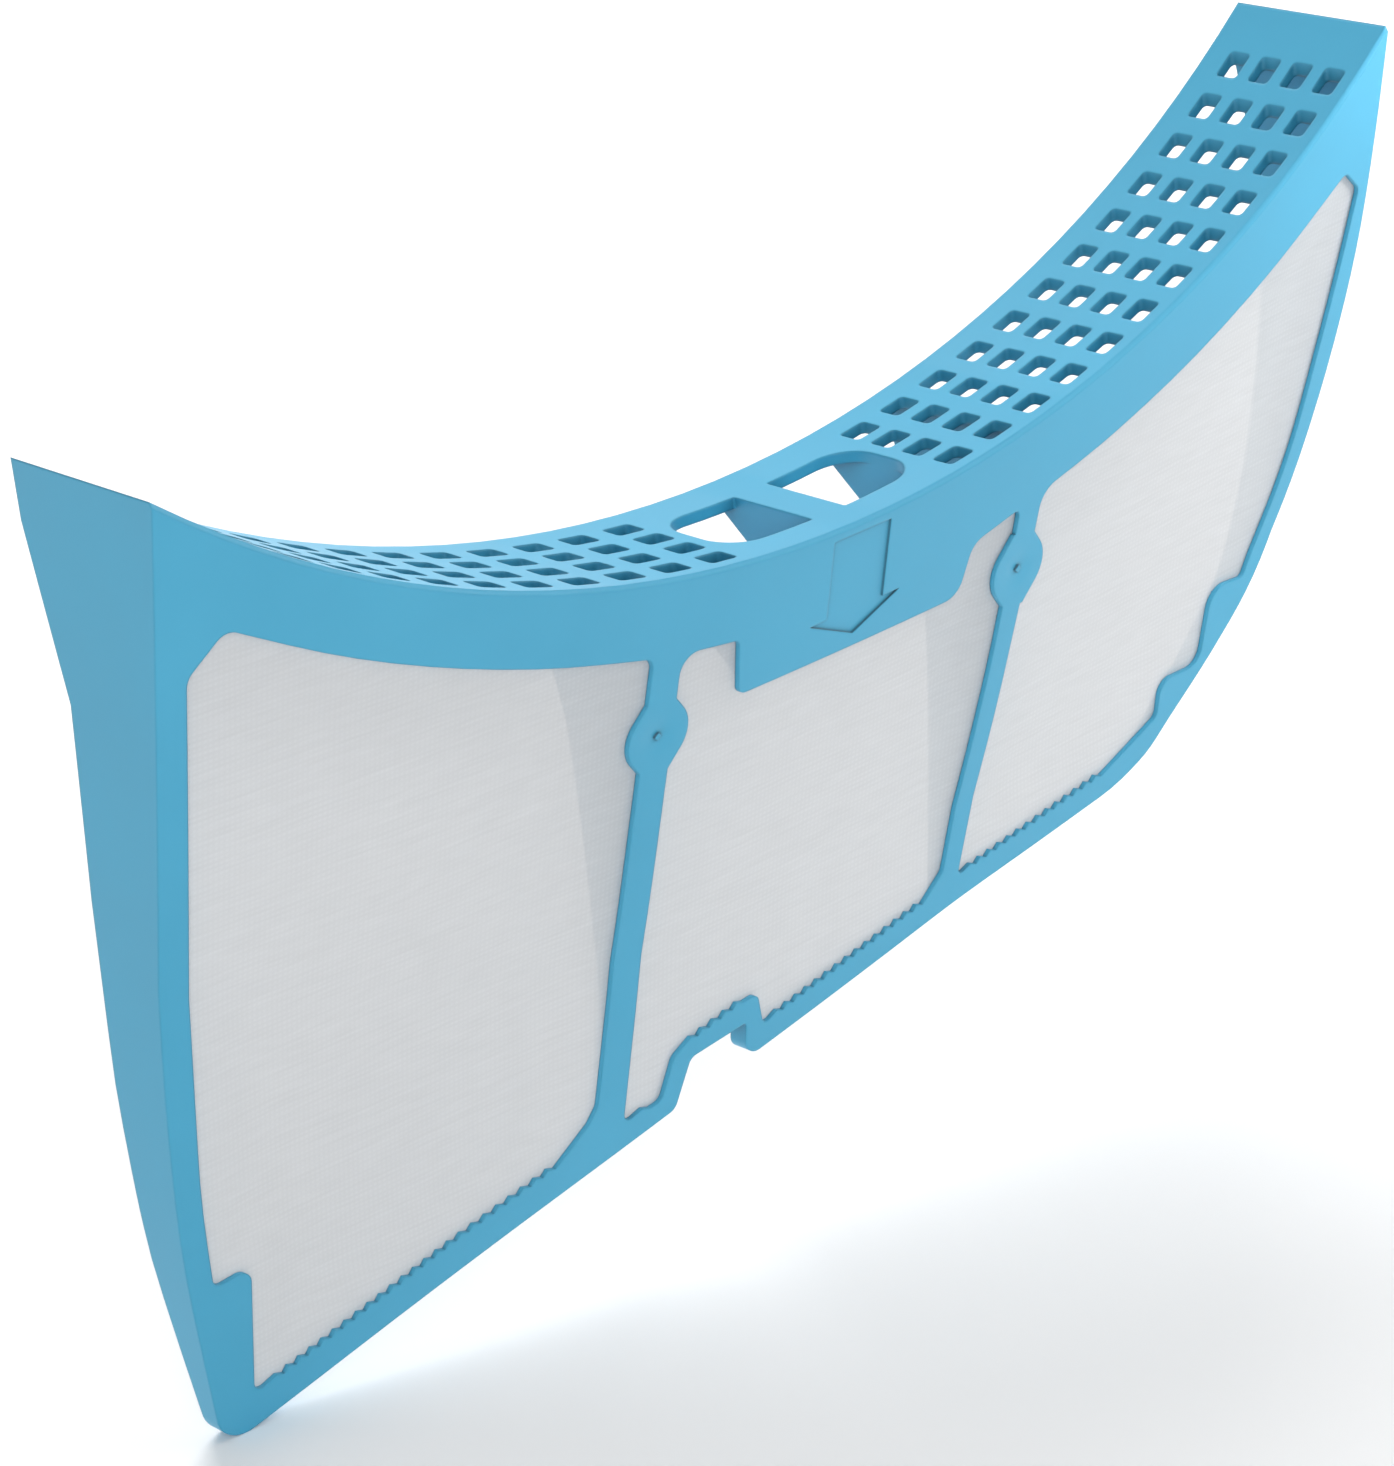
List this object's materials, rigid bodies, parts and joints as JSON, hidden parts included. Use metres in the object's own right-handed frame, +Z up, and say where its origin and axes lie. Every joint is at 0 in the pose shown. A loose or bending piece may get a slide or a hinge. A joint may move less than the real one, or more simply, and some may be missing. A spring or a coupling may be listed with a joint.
{
  "type": "tumble dryer lint filter",
  "caption": "Curved lint filter for a tumble dryer: open-backed moulded frame with fine mesh windows, a perforated top strip with finger holes and an arrow on the front.",
  "frame": {"origin": "lowest point of the top strip's upper surface, on the strip's front edge, midway between the end walls", "axes": "+X to the right seen from the front, +Y from the front wall to the open back, +Z up, the way the filter is pulled out of its slot"},
  "size_m": [0.346, 0.0468, 0.2202],
  "materials": {
    "blue_polypropylene": "satin moulded",
    "white_mesh": "fine woven polyester"
  },
  "bodies": {
    "root": {"filter_frame": "blue_polypropylene", "mesh_left": "white_mesh", "mesh_middle": "white_mesh", "mesh_right": "white_mesh"}
  },
  "joints": []
}
